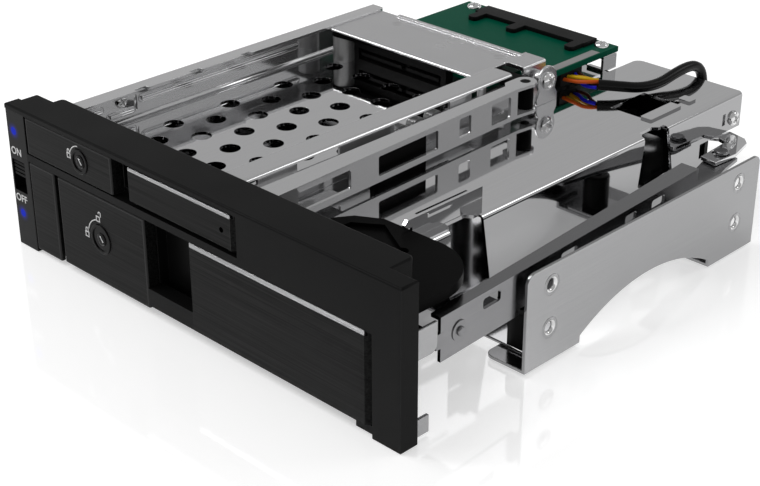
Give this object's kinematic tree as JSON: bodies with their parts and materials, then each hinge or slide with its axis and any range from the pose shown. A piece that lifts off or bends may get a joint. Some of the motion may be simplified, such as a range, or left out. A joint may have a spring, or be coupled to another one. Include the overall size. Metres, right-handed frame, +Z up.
{
  "type": "drive mounting frame",
  "caption": "Drive bay frame with a folded steel body and a black face; two locking doors pull linked levers that push a narrow drive and a wide drive out.",
  "frame": {"origin": "centre of the underside of the bounding box", "axes": "+X right seen from the front, +Y from the face to the rear, +Z up"},
  "size_m": [0.1484, 0.1786, 0.042],
  "materials": {
    "board_green": "green solder mask",
    "carrier_black": "moulded black",
    "connector_black": "moulded black",
    "cover_black": "smooth black",
    "cover_grey": "satin grey",
    "face_black": "fine brushed black",
    "led_blue": "clear blue",
    "lever_black": "moulded black",
    "lock_metal": "plated metal",
    "pin_steel": "turned steel",
    "post_rubber": "black rubber",
    "screw_steel": "nickel plated",
    "sheet_steel": "polished steel sheet",
    "sleeve_black": "flexible black sleeve",
    "strip_smoke": "dark smoked gloss",
    "switch_black": "moulded dark grey",
    "trim_silver": "brushed aluminium",
    "wire_colours": "insulation in several colours"
  },
  "bodies": {
    "frame": {"backplane35_board": "board_green", "backplane_cover": "cover_grey", "bar_guide": "lever_black", "base_tray": "sheet_steel", "bay_plate": "sheet_steel", "bearing_rollers": "pin_steel", "bezel_bracket_left": "sheet_steel", "bezel_bracket_right": "sheet_steel", "bezel_frame": "face_black", "board_brackets": "sheet_steel", "board_header": "connector_black", "board_legs": "sheet_steel", "board_screws": "screw_steel", "cable_plug": "connector_black", "cable_sleeve": "sleeve_black", "cage25_left_wall": "sheet_steel", "cage25_right_wall": "sheet_steel", "door25_hinge_pin": "pin_steel", "door35_hinge_pin": "pin_steel", "hinge_cover": "cover_black", "indicator_board": "board_green", "indicator_strip": "strip_smoke", "led_lenses": "led_blue", "lever25_post": "pin_steel", "lever35_post": "pin_steel", "link_plate": "sheet_steel", "link_screw": "screw_steel", "main_board": "board_green", "plate_tabs": "sheet_steel", "rear_bracket": "sheet_steel", "sata25_connector": "connector_black", "sata35_connector": "connector_black", "side_bracket_left": "sheet_steel", "side_bracket_right": "sheet_steel", "side_panel": "face_black", "spacer_posts_left": "post_rubber", "spacer_posts_right": "post_rubber", "switch_housing": "switch_black", "wall_screw": "screw_steel", "wire_plug": "connector_black", "wires": "wire_colours"},
    "door25": {"door25_carrier": "carrier_black", "door25_block": "face_black", "door25_flap": "face_black", "door25_trim": "trim_silver", "door25_lock_ring": "trim_silver"},
    "lock25": {"door25_lock": "lock_metal"},
    "door35": {"door35_carrier": "carrier_black", "door35_block": "face_black", "door35_flap": "face_black", "door35_trim": "trim_silver", "door35_lock_ring": "trim_silver"},
    "lock35": {"door35_lock": "lock_metal"},
    "switch": {"power_switch": "switch_black"},
    "slider": {"slider_bar": "sheet_steel"},
    "lever25": {"ejector_lever25": "lever_black"},
    "rod": {"pull_rod": "sheet_steel", "rod_plate": "sheet_steel"},
    "lever35": {"ejector_lever35": "sheet_steel"}
  },
  "joints": [
    {"name": "door25_hinge", "type": "hinge", "parent": "frame", "child": "door25", "pos_m": [0.017, -0.08641, 0.035], "axis": [0, 0, 1], "range_deg": [0, 90]},
    {"name": "lock25_turn", "type": "hinge", "parent": "door25", "child": "lock25", "pos_m": [-0.041, -0.08901, 0.035], "axis": [0, 1, 0], "range_deg": [0, 90]},
    {"name": "door35_hinge", "type": "hinge", "parent": "frame", "child": "door35", "pos_m": [0.0619, -0.08601, 0.014], "axis": [0, 0, 1], "range_deg": [0, 90]},
    {"name": "lock35_turn", "type": "hinge", "parent": "door35", "child": "lock35", "pos_m": [-0.0344, -0.08901, 0.0149], "axis": [0, 1, 0], "range_deg": [0, 90]},
    {"name": "switch_slide", "type": "slide", "parent": "frame", "child": "switch", "axis": [0, 0, -1], "range_m": [0, 0.0042]},
    {"name": "slider_slide", "type": "slide", "parent": "frame", "child": "slider", "axis": [0, -1, 0], "range_m": [0, 0.007]},
    {"name": "lever25_turn", "type": "hinge", "parent": "frame", "child": "lever25", "pos_m": [-0.0565, 0.02129, 0.038], "axis": [0, 0, -1], "range_deg": [0, 5.77]},
    {"name": "rod_slide", "type": "slide", "parent": "frame", "child": "rod", "axis": [0, -1, 0], "range_m": [0, 0.007]},
    {"name": "lever35_turn", "type": "hinge", "parent": "frame", "child": "lever35", "pos_m": [-0.05, 0.07079, 0.018], "axis": [0, 0, -1], "range_deg": [0, 3.86]}
  ],
  "couplings": [
    {"joint": "slider_slide", "follows": "door25_hinge", "m_per_rad": 0.0044563},
    {"joint": "lever25_turn", "follows": "door25_hinge", "ratio": 0.064158},
    {"joint": "rod_slide", "follows": "door35_hinge", "m_per_rad": 0.0044563},
    {"joint": "lever35_turn", "follows": "door35_hinge", "ratio": 0.04286}
  ]
}
